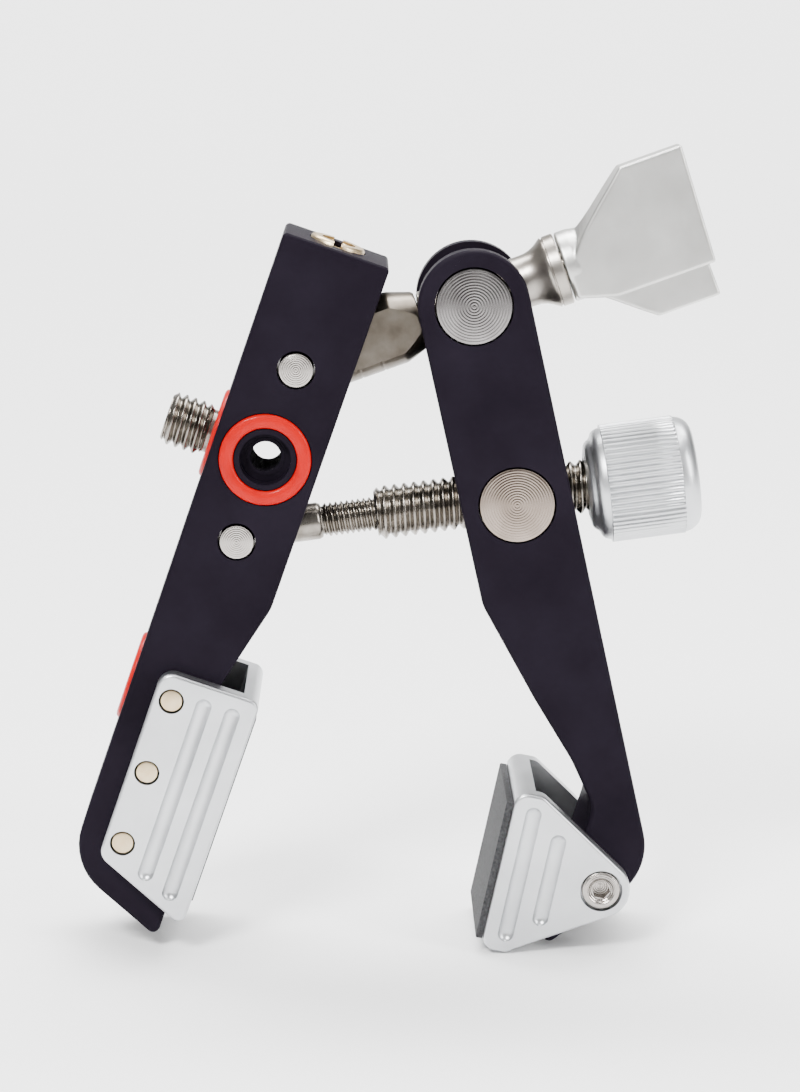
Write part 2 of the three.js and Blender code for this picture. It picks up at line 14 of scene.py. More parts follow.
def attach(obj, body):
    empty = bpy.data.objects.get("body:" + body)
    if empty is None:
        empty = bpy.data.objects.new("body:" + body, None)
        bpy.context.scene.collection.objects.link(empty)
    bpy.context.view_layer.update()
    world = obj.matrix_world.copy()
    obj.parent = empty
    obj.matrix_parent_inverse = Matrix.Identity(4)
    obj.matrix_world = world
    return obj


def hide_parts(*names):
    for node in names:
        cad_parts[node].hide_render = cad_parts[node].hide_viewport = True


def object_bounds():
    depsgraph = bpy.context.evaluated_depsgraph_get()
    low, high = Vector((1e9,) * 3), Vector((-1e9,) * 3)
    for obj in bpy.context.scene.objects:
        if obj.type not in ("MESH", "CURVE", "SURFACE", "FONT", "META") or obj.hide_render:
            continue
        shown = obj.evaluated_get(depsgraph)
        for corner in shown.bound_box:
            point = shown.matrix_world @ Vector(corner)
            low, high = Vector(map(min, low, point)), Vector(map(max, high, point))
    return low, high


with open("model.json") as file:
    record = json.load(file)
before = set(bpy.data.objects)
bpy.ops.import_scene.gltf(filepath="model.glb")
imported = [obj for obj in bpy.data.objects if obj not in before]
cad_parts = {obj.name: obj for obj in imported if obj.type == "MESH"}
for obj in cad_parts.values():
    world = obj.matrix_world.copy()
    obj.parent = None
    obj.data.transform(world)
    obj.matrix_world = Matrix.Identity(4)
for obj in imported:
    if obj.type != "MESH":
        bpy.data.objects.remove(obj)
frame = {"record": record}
cad_box = [[float(v) for v in corner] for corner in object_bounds()]
joints = {j["name"]: j for j in frame["record"]["behaviour"]["joints"]}
MM = 0.001


# ---------- local frames of the clamp's members ----------

def rise(joint):
    """Degrees by which a slide's axis rises towards the right."""
    x, _, z = joints[joint]["axis"]
    return math.degrees(math.atan2(z, x))


def leaning(joint, degrees):
    """The frame at a joint, leaned by degrees about the across axis."""
    turned = Matrix.Rotation(math.radians(degrees), 4, "Y")
    return Matrix.Translation(joints[joint]["pos_m"]) @ turned


# Degrees by which the members lean and the two screws rise at rest
FIXED_LEAN, MOVING_LEAN, JAW_LEAN = 19.3, -12.5, 12.1
UPPER_RISE = rise("spindle_travel")
LOWER_RISE = rise("sleeve_travel") % 180
FIXED = leaning("eye_rod_swing", FIXED_LEAN)
MOVING = leaning("lower_trunnion_turn", MOVING_LEAN)
JAW = leaning("jaw_swivel", JAW_LEAN)
LINK = leaning("upper_link_swing", -UPPER_RISE)
HANDLE = leaning("jaw_close", -UPPER_RISE)
ROD = leaning("eye_rod_swing", -LOWER_RISE)
KNOB = leaning("lower_trunnion_turn", -LOWER_RISE)
# Distances from the link pins to the trunnions, along the upper and the lower screw
high_pin, high_trunnion = [Vector(joints[name]["pos_m"]) for name in ("upper_link_swing", "jaw_close")]
SPAN = (high_trunnion - high_pin).length / MM
LOWER_SPAN = 49.5


# ---------- meshes, in millimetres ----------

def raw(verts, faces):
    mesh = bpy.data.meshes.new("raw")
    mesh.from_pydata(verts, [], faces)
    shaped = bmesh.new()
    shaped.from_mesh(mesh)
    bmesh.ops.recalc_face_normals(shaped, faces=shaped.faces)
    shaped.to_mesh(mesh)
    shaped.free()
    obj = bpy.data.objects.new("raw", mesh)
    bpy.context.scene.collection.objects.link(obj)
    return obj


def revolve(axis, profile, at=(0, 0, 0), around=96, wave=None):
    """A turned piece, from pairs of distance along the axis and radius.

    wave(along, turn, radius) gives the radius at a point, where it differs round the piece.
    """
    order = {"x": (0, 1, 2), "y": (1, 0, 2), "z": (2, 0, 1)}[axis]
    verts, rings = [], []
    for along, radius in profile:
        count = 1 if radius == 0 else around
        rings.append(range(len(verts), len(verts) + count))
        for i in range(count):
            turn = 2 * math.pi * i / around
            r = wave(along, turn, radius) if wave and radius else radius
            point = [0, 0, 0]
            for k, value in zip(order, (along, r * math.cos(turn), r * math.sin(turn))):
                point[k] = value + at[k]
            verts.append(point)
    loops = list(zip(rings, rings[1:]))
    if len(rings[0]) > 1:
        loops.append((rings[-1], rings[0]))
    faces = []
    for a, b in loops:
        for i in range(around):
            j = (i + 1) % around
            if len(a) == 1:
                faces.append((a[0], b[i], b[j]))
            elif len(b) == 1:
                faces.append((a[i], a[j], b[0]))
            else:
                faces.append((a[i], a[j], b[j], b[i]))
    return raw(verts, faces)


def bar(axis, radius, start, end, at=(0, 0, 0), around=64):
    """A plain round or many-sided bar."""
    return revolve(axis, [(start, 0), (start, radius), (end, radius), (end, 0)], at, around)


def eased(corners, step=9):
    """An outline from corners (x, z, radius), each rounded to its radius."""
    outline = []
    for i, (x, z, radius) in enumerate(corners):
        here = Vector((x, z))
        back = (Vector(corners[i - 1][:2]) - here).normalized()
        ahead = (Vector(corners[(i + 1) % len(corners)][:2]) - here).normalized()
        half = back.angle(ahead) / 2
        if radius == 0:
            outline.append(here)
            continue
        centre = here + (back + ahead).normalized() * radius / math.sin(half)
        first = here + back * radius / math.tan(half) - centre
        sweep = first.angle_signed(here + ahead * radius / math.tan(half) - centre)
        steps = max(2, math.ceil(abs(math.degrees(sweep)) / step))
        for k in range(steps + 1):
            turn = -sweep * k / steps
            c, s = math.cos(turn), math.sin(turn)
            outline.append(centre + Vector((c * first.x - s * first.y, s * first.x + c * first.y)))
    return outline


def lidded(n):
    """Faces of a prism whose two outlines have n points each."""
    sides = [(i, (i + 1) % n, n + (i + 1) % n, n + i) for i in range(n)]
    return [tuple(range(n))[::-1], tuple(range(n, 2 * n)), *sides]


def slab(outline, low, high):
    """An outline in x and z, made solid between two places along y."""
    verts = [(p[0], y, p[1]) for y in (low, high) for p in outline]
    return raw(verts, lidded(len(outline)))


def eased_slab(outline, low, high, edge, segments=4):
    """A slab whose edges are rounded all round."""
    obj = slab(outline, low, high)
    soft = obj.modifiers.new("edges", "BEVEL")
    soft.width = edge
    soft.segments = segments
    soft.limit_method = "ANGLE"
    soft.angle_limit = math.radians(40)
    soft.use_clamp_overlap = False
    return settle(obj)


def block(x0, x1, y0, y1, z0, z1):
    return slab([(x0, z0), (x1, z0), (x1, z1), (x0, z1)], y0, y1)


def settle(obj):
    """Applies a piece's modifiers."""
    bpy.context.view_layer.update()
    shown = obj.evaluated_get(bpy.context.evaluated_depsgraph_get())
    mesh = bpy.data.meshes.new_from_object(shown)
    obj.modifiers.clear()
    obj.data = mesh
    return obj


def combine(obj, others, operation):
    for other in others:
        step = obj.modifiers.new("step", "BOOLEAN")
        step.operation = operation
        step.solver = "MANIFOLD"
        step.object = other
    settle(obj)
    for other in others:
        bpy.data.objects.remove(other)
    return obj


def carve(obj, *cutters):
    return combine(obj, cutters, "DIFFERENCE")


def weld(obj, *others):
    return combine(obj, others, "UNION")


def cast(obj, voxel, passes):
    """Runs the edges of a welded piece together, as in a casting, on a grid of voxel size."""
    melt = obj.modifiers.new("melt", "REMESH")
    melt.mode = "VOXEL"
    melt.voxel_size = voxel
    relax = obj.modifiers.new("relax", "SMOOTH")
    relax.factor = 0.6
    relax.iterations = passes
    return settle(obj)


# Rows to a pitch, and the shares of it that the root and the two flanks take; the crest has the rest
THREAD_ROWS, ROOT_SHARE, FLANK_SHARE = 20, 0.1, 0.72


def thread(start, end, crest, pitch, depth, hand=1):
    """Rows and wave of a screw thread between two distances along a turned piece.

    crest is the outer radius and a hand of -1 is left-handed. The ends are chamfered.
    """
    count = math.ceil((end - start) / pitch * THREAD_ROWS)
    rows = []
    for i in range(count + 1):
        along = start + (end - start) * i / count
        lead = min(along - start, end - along)
        rows.append((along, min(crest, crest - depth + lead)))

    def wave(along, turn, radius):
        if along < start or along > end or radius > crest:
            return radius
        phase = (along / pitch - hand * turn / (2 * math.pi)) % 1
        height = (1 - abs(2 * phase - 1) - ROOT_SHARE) / FLANK_SHARE
        return min(radius, crest - depth * (1 - min(max(height, 0), 1)))

    return rows, wave


# ---------- materials ----------

def finish(name, colors, roughness, metallic, mottle, grain, relief, **sockets):
    """A mottled, grained surface between two colours and two roughnesses.

    mottle and grain are sizes and relief is the grain's height, all in millimetres.
    """
    made = bpy.data.materials.new(name)
    made.use_nodes = True
    tree = made.node_tree
    shader = tree.nodes["Principled BSDF"]
    shader.inputs["Metallic"].default_value = metallic
    for socket, value in sockets.items():
        shader.inputs[socket.replace("_", " ")].default_value = value
    where = tree.nodes.new("ShaderNodeTexCoord")
    patches = tree.nodes.new("ShaderNodeTexNoise")
    patches.inputs["Scale"].default_value = 1 / (mottle * MM)
    patches.inputs["Detail"].default_value = 6
    ramp = tree.nodes.new("ShaderNodeValToRGB")
    ramp.color_ramp.elements[0].position = 0.3
    ramp.color_ramp.elements[1].position = 0.7
    ramp.color_ramp.elements[0].color = (*colors[0], 1)
    ramp.color_ramp.elements[1].color = (*colors[1], 1)
    spread = tree.nodes.new("ShaderNodeMapRange")
    spread.inputs["To Min"].default_value = roughness[0]
    spread.inputs["To Max"].default_value = roughness[1]
    beads = tree.nodes.new("ShaderNodeTexNoise")
    beads.inputs["Scale"].default_value = 1 / (grain * MM)
    beads.inputs["Detail"].default_value = 3
    bump = tree.nodes.new("ShaderNodeBump")
    bump.inputs["Strength"].default_value = 1
    bump.inputs["Distance"].default_value = relief * MM
    link = tree.links.new
    link(where.outputs["Object"], patches.inputs["Vector"])
    link(where.outputs["Object"], beads.inputs["Vector"])
    link(patches.outputs["Fac"], ramp.inputs["Fac"])
    link(patches.outputs["Fac"], spread.inputs["Value"])
    link(ramp.outputs["Color"], shader.inputs["Base Color"])
    link(spread.outputs["Result"], shader.inputs["Roughness"])
    link(beads.outputs["Fac"], bump.inputs["Height"])
    link(bump.outputs["Normal"], shader.inputs["Normal"])
    return made


def lathe_marks(made, spacing, depth):
    """Puts concentric turning marks about the piece's own Y axis in the place of the grain."""
    tree = made.node_tree
    shader = tree.nodes["Principled BSDF"]
    where = tree.nodes.new("ShaderNodeTexCoord")
    across = tree.nodes.new("ShaderNodeVectorMath")
    across.operation = "MULTIPLY"
    across.inputs[1].default_value = (1, 0, 1)
    length = tree.nodes.new("ShaderNodeVectorMath")
    length.operation = "LENGTH"
    scaled = tree.nodes.new("ShaderNodeMath")
    scaled.operation = "MULTIPLY"
    scaled.inputs[1].default_value = 2 * math.pi / (spacing * MM)
    ripple = tree.nodes.new("ShaderNodeMath")
    ripple.operation = "SINE"
    bump = tree.nodes.new("ShaderNodeBump")
    bump.inputs["Distance"].default_value = depth * MM
    tangent = tree.nodes.new("ShaderNodeTangent")
    tangent.direction_type = "RADIAL"
    tangent.axis = "Y"
    link = tree.links.new
    link(where.outputs["Object"], across.inputs[0])
    link(across.outputs["Vector"], length.inputs[0])
    link(length.outputs["Value"], scaled.inputs[0])
    link(scaled.outputs["Value"], ripple.inputs[0])
    link(ripple.outputs["Value"], bump.inputs["Height"])
    link(bump.outputs["Normal"], shader.inputs["Normal"])
    link(tangent.outputs["Tangent"], shader.inputs["Tangent"])
    shader.inputs["Anisotropic"].default_value = 0.7
    return made


# How deep lathe marks are
MARK_DEPTH = 0.016
BLACK = finish(
    "black_anodised", [(0.0068, 0.005, 0.0085), (0.0105, 0.008, 0.013)], (0.4, 0.52), 0, 14, 0.12, 0.008,
    Specular_IOR_Level=0.02)
SATIN = finish(
    "satin_aluminium", [(0.53, 0.54, 0.555), (0.62, 0.63, 0.645)], (0.32, 0.42), 1, 9, 0.1, 0.006)
CAST = finish(
    "cast_aluminium", [(0.54, 0.535, 0.515), (0.65, 0.645, 0.625)], (0.34, 0.44), 1, 7, 0.16, 0.01)
STEEL = finish(
    "turned_steel", [(0.14, 0.125, 0.105), (0.3, 0.275, 0.245)], (0.2, 0.32), 1, 3, 0.08, 0.003)
NICKEL = finish(
    "nickelled_steel", [(0.3, 0.27, 0.235), (0.4, 0.37, 0.335)], (0.26, 0.36), 1, 8, 0.1, 0.003)
TARNISH = finish(
    "worn_nickel", [(0.085, 0.07, 0.055), (0.17, 0.15, 0.125)], (0.26, 0.38), 1, 5, 0.1, 0.004)
BRASS = finish(
    "pale_brass", [(0.58, 0.44, 0.26), (0.68, 0.56, 0.37)], (0.3, 0.42), 1, 2, 0.1, 0.004)
RED = finish(
    "red_gloss", [(0.36, 0.0006, 0.0006), (0.43, 0.001, 0.001)], (0.4, 0.5), 0, 5, 0.3, 0.004,
    Specular_IOR_Level=0.08, Coat_Weight=0.12, Coat_Roughness=0.06)
RUBBER = finish(
    "grained_rubber", [(0.006, 0.006, 0.0065), (0.05, 0.05, 0.053)], (0.8, 0.95), 0, 0.5, 0.35, 0.12)
cool_face = finish(
    "turned_face", [(0.16, 0.15, 0.148), (0.24, 0.228, 0.224)], (0.2, 0.28), 1, 4, 0.1, 0.002)
warm_face = finish(
    "turned_face_warm", [(0.22, 0.176, 0.145), (0.31, 0.255, 0.215)], (0.2, 0.3), 1, 4, 0.1, 0.002)
pin_face = finish(
    "pin_face", [(0.38, 0.35, 0.325), (0.47, 0.44, 0.41)], (0.2, 0.28), 1, 2, 0.1, 0.002)
COOL = lathe_marks(cool_face, 0.5, MARK_DEPTH)
WARM = lathe_marks(warm_face, 0.46, MARK_DEPTH)
PINFACE = lathe_marks(pin_face, 0.36, MARK_DEPTH)


# ---------- from mesh to piece ----------

def piece(obj, name, place, material, body, nodes, smooth=38, flats=False):
    """Puts a mesh in place, gives it its finish and its body, and lets it stand for its CAD nodes.

    Edges sharper than smooth degrees stay sharp, and flats keeps the flat faces evenly lit.
    """
    obj.name = name
    obj.data.name = name
    obj.data.transform(place.to_3x3().to_4x4() @ Matrix.Scale(MM, 4))
    obj.data.materials.clear()
    obj.data.materials.append(material)
    obj.data.shade_smooth()
    obj.data.set_sharp_from_angle(angle=math.radians(smooth))
    if flats:
        even = obj.modifiers.new("even", "WEIGHTED_NORMAL")
        even.keep_sharp = True
    obj.location = place.translation
    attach(obj, body)
    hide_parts(*nodes)
    return obj


def both_ends(end):
    """The whole profile of a turned piece whose two ends are alike, from the profile of one end."""
    return [(-along, radius) for along, radius in end] + end[::-1]


# ---------- fixed arm, measured from its lower link pin ----------

# Half sizes: the arm's width along x, its depth along y, and the width of its slots along y
HALF, FACE, SLOT = 9.6, 9.3, 5.3
# How far cutters reach, which is past every face of an arm
PAST = 11
PORT = (0, 0, 15.5)
SIDE = (0, 0, -31.3)
PINS_Z = (0, 32.1)
RIVET_X, RIVETS_Z = -1.8, (-30.2, -44.05, -57.9)
PIN_BORE, RIVET_BORE, STUD_BORE, SIDE_BORE, BUSH_BORE = 3.35, 2.25, 5.0, 4.2, 5.15
# The cross hole's wide mouth, and how deep the stud and the side port go
MOUTH_BORE, MOUTH_DEPTH = 4.5, 3.2
STUD_DEPTH, SIDE_DEPTH = 4.4, 5.4
# Inner and outer radius of the groove that seats a red ring
SEAT_INNER, SEAT_OUTER = 5.4, 8.2
# A red ring's section: middle radius, half width, half height, depth sunk, and below 1 for squarer
RIM_RADIUS, RIM_WIDE, RIM_HIGH, RIM_SUNK, RIM_POWER = 6.8, 1.25, 0.75, 0.1, 0.8
# Pitches of the 1/4 inch and the 3/8 inch thread
FINE_PITCH, COARSE_PITCH = 1.27, 1.588


def ring_seat(axis, surface, outward, at):
    floor, over = surface - outward, surface + outward
    seat = [(floor, SEAT_INNER), (over, SEAT_INNER), (over, SEAT_OUTER), (floor, SEAT_OUTER)]
    return revolve(axis, seat, at)


arm = eased_slab(eased([
    (-HALF, 54, 0.8), (HALF, 54, 0.8), (HALF, -9.6, 7), (5.5, -26, 2), (3, -36, 12), (1.6, -50, 14),
    (5.4, -63, 6), (9.6, -68, 3), (9.6, -74.2, 1.3), (-HALF, -65.9, 11),
]), -FACE, FACE, 0.7)
upper_slot = eased([
    (-PAST, 26.4, 0), (-4, 24.2, 1), (4, 24.2, 1), (PAST, 28.6, 0), (PAST, 50.2, 0), (5.6, 46.4, 1),
    (-PAST, 46, 0),
])
lower_slot = eased([(-PAST, -7.3, 0), (PAST, -7.3, 0), (PAST, 10.2, 0), (-1, 8, 1), (-PAST, 8, 0)])
carve(
    arm,
    slab(upper_slot, -SLOT, SLOT),
    slab(lower_slot, -SLOT, SLOT),
    block(-PAST, -4.3, -2.6, 2.6, -52.2, -41.8),
    *[bar("y", PIN_BORE, -PAST, PAST, (0, 0, z)) for z in PINS_Z],
    bar("y", PIN_BORE, -PAST, PAST, PORT),
    bar("y", MOUTH_BORE, -PAST, -FACE + MOUTH_DEPTH, PORT),
    bar("y", MOUTH_BORE, FACE - MOUTH_DEPTH, PAST, PORT),
    ring_seat("y", -FACE, -1, PORT),
    ring_seat("y", FACE, 1, PORT),
    bar("x", STUD_BORE, -PAST, -HALF + STUD_DEPTH, PORT),
    ring_seat("x", -HALF, -1, PORT),
    bar("x", SIDE_BORE, -PAST, -HALF + SIDE_DEPTH, SIDE),
    ring_seat("x", -HALF, -1, SIDE),
    bar("z", BUSH_BORE, 48, 56),
    *[bar("y", RIVET_BORE, -PAST, PAST, (RIVET_X, 0, z)) for z in RIVETS_Z],
)
piece(arm, "fixed_arm_body", FIXED, BLACK, "fixed_arm", ["fixed_arm"],
      smooth=30, flats=True)


def squarer(value):
    """A sine or cosine drawn out, which squares up the circle it draws."""
    return math.copysign(abs(value) ** RIM_POWER, value)


def red_ring(name, axis, surface, outward, at, node):
    middle = surface - outward * RIM_SUNK
    turns = [math.pi * k / 16 for k in range(32)]
    rim = [(middle + RIM_HIGH * squarer(math.sin(t)), RIM_RADIUS + RIM_WIDE * squarer(math.cos(t)))
           for t in turns]
    ring = revolve(axis, rim, at, 128)
    piece(ring, name, FIXED, RED, "fixed_arm", [node], smooth=60)


red_ring("front_ring", "y", -FACE, -1, PORT, "front_port_ring")
red_ring("rear_ring", "y", FACE, 1, PORT, "rear_port_ring")
red_ring("stud_ring", "x", -HALF, -1, PORT, "spigot_ring")
red_ring("side_ring", "x", -HALF, -1, SIDE, "side_port_ring")

# The 1/4 inch thread of the cross hole is a lining of the same black metal
lining = FACE - 3.1
rows, wave = thread(-lining, lining, 3.15, FINE_PITCH, 0.45)
bore = revolve("y", [(-lining, 3.34), (lining, 3.34), *rows[::-1]], PORT, 72, wave)
piece(bore, "cross_hole_thread", FIXED, BLACK, "fixed_arm", ["fixed_arm"])

# The 3/8 inch stud, its thread ending in a relief groove at the ring, with a hexagon socket in its end
tip, foot = -HALF - 9, -5.5
rows, wave = thread(tip, tip + 7.6, 4.76, COARSE_PITCH, 0.85)
groove = [(tip + 7.8, 3.9), (tip + 8.6, 3.9)]
base = [(tip + 8.7, 4.7), (foot, 4.7), (foot, 0)]
stud = revolve("x", [(tip, 0), *rows, *groove, *base], PORT, 160, wave)
carve(stud, bar("x", 2.3, tip - 1, tip + 2.5, PORT, 6))
piece(stud, "side_stud", FIXED, STEEL, "fixed_arm", ["spigot_stud"], smooth=75)

# The slotted bush in the top face
rows, wave = thread(48.2, 54.7, 3.45, FINE_PITCH, 0.42)
shell = [(48.3, 4.9), (54.2, 4.9), (54.5, 4.75), (54.7, 4.5), (54.7, 3.45)]
bush = revolve("z", [*shell, *rows[::-1]], around=96, wave=wave)
carve(bush, block(-0.8, 0.8, -6, 6, 53.1, 56))
piece(bush, "slotted_bush", FIXED, BRASS, "fixed_arm", ["top_bush"])

pin_end = [(9.4, 0), (9.4, 2.75), (9.34, 2.92), (9.2, 3.0)]
for name, z, node in zip(("pin_low", "pin_high"), PINS_Z, ("lower_link_pin", "upper_link_pin")):
    pin = revolve("y", both_ends(pin_end))
    place = FIXED @ Matrix.Translation((0, 0, z * MM))
    piece(pin, name, place, PINFACE, "fixed_arm", [node])

# ---------- jaw shoes ----------

# Half depths of a shoe's channel, outside and inside
OUT, IN = 12.7, 9.7
SHOE_EDGE, PAD_EDGE = 0.6, 0.09
FLUTE_RADIUS, FLUTE_LIFT = 1.6, 0.72


def flute(x, low, high, side):
    """The cutter of one round-ended groove in a flank; its axis lies a little outside the flank."""
    r, steps = FLUTE_RADIUS, 10
    turns = [math.pi / 2 * k / steps for k in range(steps)]
    up = [(high + r * math.sin(t), r * math.cos(t)) for t in turns]
    down = [(low - (along - high), radius) for along, radius in up]
    profile = [(low - r, 0), *down[::-1], *up, (high + r, 0)]
    return revolve("z", profile, (x, side * (OUT + FLUTE_LIFT), 0), 40)


def flutes(rows):
    return [flute(x, low, high, side) for x, low, high in rows for side in (-1, 1)]


shoe = eased_slab(eased([
    (-5.1, -25.4, 2.8), (13.2, -25.4, 1.9), (13.2, -69.6, 1.6), (-5.1, -61.6, 2.8),
]), -OUT, OUT, SHOE_EDGE)
carve(
    shoe,
    block(-20, 10, -IN, IN, -90, -10),
    block(11.7, 20, -10.8, 10.8, -65.3, -28.7),
    *flutes([(3.86, -61.9, -29.3), (9.1, -64, -29.3)]),
    *[bar("y", RIVET_BORE, -14, 14, (RIVET_X, 0, z)) for z in RIVETS_Z],
)
piece(shoe, "fixed_jaw_channel", FIXED, SATIN, "fixed_arm", ["fixed_jaw_shoe"],
      smooth=30, flats=True)
pad = eased_slab(eased([
    (12, -64.9, 0.1), (13.5, -64.9, 0.1), (13.5, -29.1, 0.1), (12, -29.1, 0.1),
]), -10.4, 10.4, PAD_EDGE)
piece(pad, "fixed_jaw_rubber", FIXED, RUBBER, "fixed_arm", ["fixed_jaw_pad"],
      smooth=30, flats=True)
rivet_end = [(12.45, 0), (12.45, 1.6), (12.38, 1.85), (12.2, 1.95)]
for i, z in enumerate(RIVETS_Z, 1):
    rivet = revolve("y", both_ends(rivet_end), (RIVET_X, 0, z), 48)
    piece(rivet, f"rivet_{i}", FIXED, BRASS, "fixed_arm", [f"jaw_rivet_{i}"])

# The swivelling shoe is measured from its screw: a straight back, two slanted sides and a round nose
BACK, NOSE = -18.8, 5.2
slant = math.radians(31)
turns = [slant + (math.pi - 2 * slant) * k / 24 for k in range(25)]
nose = [(NOSE * math.sin(t), NOSE * math.cos(t)) for t in turns]
back = eased([
    (BACK + 5.0, -15, 2.4), (BACK, -15, 2.4), (BACK, 15, 2.4), (BACK + 5.0, 15, 2.4), (*nose[0], 0),
])
shoe = eased_slab([*back[:-1], *map(Vector, nose)], -OUT, OUT, SHOE_EDGE)
carve(
    shoe,
    block(BACK + 3.6, 20, -IN, IN, -30, 30),
    *flutes([(-15, -11.4, 11.4), (-9.55, -7.3, 7.3)]),
    bar("y", 2.3, -14, 14),
    bar("y", 3.8, -14, -OUT + 2.5),
    bar("y", 4.1, OUT - 2.4, 14, around=6),
)
piece(shoe, "swivel_jaw_channel", JAW, SATIN, "swivel_jaw", ["moving_jaw_shoe"],
      smooth=30, flats=True)
pad = eased_slab(eased([
    (-20.1, -13.4, 0.25), (-18.85, -13.4, 0.1), (-18.85, 12.6, 0.1), (-20.1, 12.6, 0.25),
]), -11.9, 11.9, PAD_EDGE)
piece(pad, "swivel_jaw_rubber", JAW, RUBBER, "swivel_jaw", ["moving_jaw_pad"],
      smooth=30, flats=True)

head = [(-12.6, 0), (-12.6, 3.0), (-12.5, 3.25), (-12.25, 3.45), (-10.5, 3.45), (-10.5, 2)]
screw = revolve("y", [*head, (12.1, 2), (12.1, 0)])
dish = revolve("y", [(-13, 0), (-13, 2.9), (-11.9, 1.75), (-11.9, 0)])
carve(screw, dish, bar("y", 1.73, -13, -10, around=6))
piece(screw, "socket_screw", JAW, PINFACE, "swivel_jaw", ["jaw_pivot_screw"])
nut = revolve("y", [(10.6, 2.35), (10.6, 3.7), (12.2, 3.75), (12.45, 3.5), (12.45, 2.35)], around=6)
piece(nut, "lock_nut", JAW, STEEL, "swivel_jaw", ["jaw_pivot_nut"])

# ---------- moving arm, measured from its lower trunnion ----------

# The arm's half width, the upper trunnion's height, and the head's rounding, a hair under a half circle
W, TOP = 9.7, 35.7
HEAD_ROUND = W - 0.01
TRUNNION_BORE = 6.85
arm = eased_slab(eased([
    (W, TOP + W, HEAD_ROUND), (-W, TOP + W, HEAD_ROUND), (-W, -16.4, 7), (-4.3, -35.2, 30),
    (-0.2, -47.6, 14), (1.8, -57, 6), (-3, -65.4, 6), (-11, -73.2, 3), (-12.4, -81, 1.2), (W, -71.2, 11),
], 6), -FACE, FACE, 0.8)
carve(
    arm,
    block(-12, 12, -SLOT, SLOT, TOP - 15, TOP + 15),
    block(-12, 12, -SLOT, SLOT, -9.5, 9.5),
    bar("y", TRUNNION_BORE, -PAST, PAST, around=96),
    bar("y", TRUNNION_BORE, -PAST, PAST, (0, 0, TOP), 96),
    bar("y", 2.3, -PAST, PAST, (0, 0, -71.5)),
)
piece(arm, "moving_arm_body", MOVING, BLACK, "moving_arm", ["moving_arm"],
      smooth=30, flats=True)


def trunnion(bore):
    end = [(9.2, 0), (9.2, 6.25), (9.12, 6.5), (8.9, 6.6)]
    return carve(revolve("y", both_ends(end), around=128), bar("x", bore, -9, 9))


piece(trunnion(3.3), "trunnion_high", HANDLE, COOL, "upper_trunnion", ["upper_trunnion"])
piece(trunnion(5.6), "trunnion_low", KNOB, WARM, "lower_trunnion", ["lower_trunnion"])

# ---------- upper screw: link barrel, spindle, collars ----------

# Distance from the link's pin to its open end, half its thickness at the pin, and its radius
MOUTH, CHEEK, BARREL = 23.2, 4.95, 6.5
SCORES = (MOUTH - 13.1, MOUTH - 8.9)
SCORE_DEPTH, SCORE_HALF = 0.16, 0.22
LEFT_HAND = -1


def scored(along, turn, radius):
    """Two fine score lines round the barrel."""
    near = min(abs(along - score) for score in SCORES)
    return radius - SCORE_DEPTH * max(0, 1 - near / SCORE_HALF)


barrel = [(-6.4, 0), (-6.4, 3.4), (-5.6, 4.7), (-4.2, 5.9), (-2.6, BARREL)]
barrel += [(a / 10, BARREL) for a in range(-20, int(10 * (MOUTH - 4.8)), 2)]
barrel += [(MOUTH - 4.7, BARREL), (MOUTH - 4.3, 6.4), (MOUTH - 0.4, 5.05), (MOUTH, 4.7), (MOUTH, 0)]
link = revolve("x", barrel, around=128, wave=scored)
carve(
    link,
    block(-8, MOUTH - 0.5, CHEEK, 9, -9, 9),
    block(-8, MOUTH - 0.5, -9, -CHEEK, -9, 9),
    bar("y", 3.3, -9, 9),
    bar("x", 4.3, 4.6, MOUTH + 1),
)
piece(link, "link_barrel", LINK, TARNISH, "upper_link", ["link_sleeve"], smooth=30, flats=True)

tail = 5.2 - SPAN
rows, wave = thread(tail, -9.3, 3.0, 1.25, 0.6, LEFT_HAND)
spindle = revolve("x", [(tail, 0), *rows, (-9.2, 3), (29, 3), (29, 0)], around=96, wave=wave)
piece(spindle, "spindle_rod", HANDLE, STEEL, "wing_handle", ["clamp_spindle"], smooth=75)
near, far = MOUTH - SPAN + 0.4, -6.8
stop = revolve("x", [
    (near, 3.3), (near, 4.3), (near + 0.3, 4.6), (far - 0.3, 4.6), (far, 4.3), (far, 3.3),
])
piece(stop, "stop_collar", HANDLE, NICKEL, "wing_handle", ["thrust_collar"])
bell = revolve("x", [
    (7, 3.3), (7, 4.45), (7.2, 4.6), (10.2, 4.6), (11.2, 4.68), (12.2, 4.95), (13.1, 5.4), (13.8, 5.9),
    (14.3, 6.25), (14.5, 6.32), (14.62, 6.05), (14.78, 6.05), (14.9, 6.36), (16.6, 6.4), (16.8, 6.2),
    (16.8, 3.3),
], around=128)
piece(bell, "bell_flange", HANDLE, NICKEL, "wing_handle", ["bell_collar"], smooth=28)

# ---------- wing handle ----------

# Where the handle starts along the spindle, and where its screw's head sits
HUB = 17.1
SEAT = HUB + 22.9
BLADE_LOW, BLADE_HIGH, TIP_X, TIP_Z = -6.2, -1.2, 25.4, 13.95


def swept(start, pull, push, stop, steps=14):
    """Points of a Bezier curve in the blade's plane."""
    ends = [Vector(p) for p in (start, pull, push, stop)]
    weights = (1, 3, 3, 1)
    points = []
    for t in [i / steps for i in range(steps + 1)]:
        terms = [w * (1 - t) ** (3 - k) * t ** k * p for k, (w, p) in enumerate(zip(weights, ends))]
        points.append(sum(terms, Vector((0, 0))))
    return points


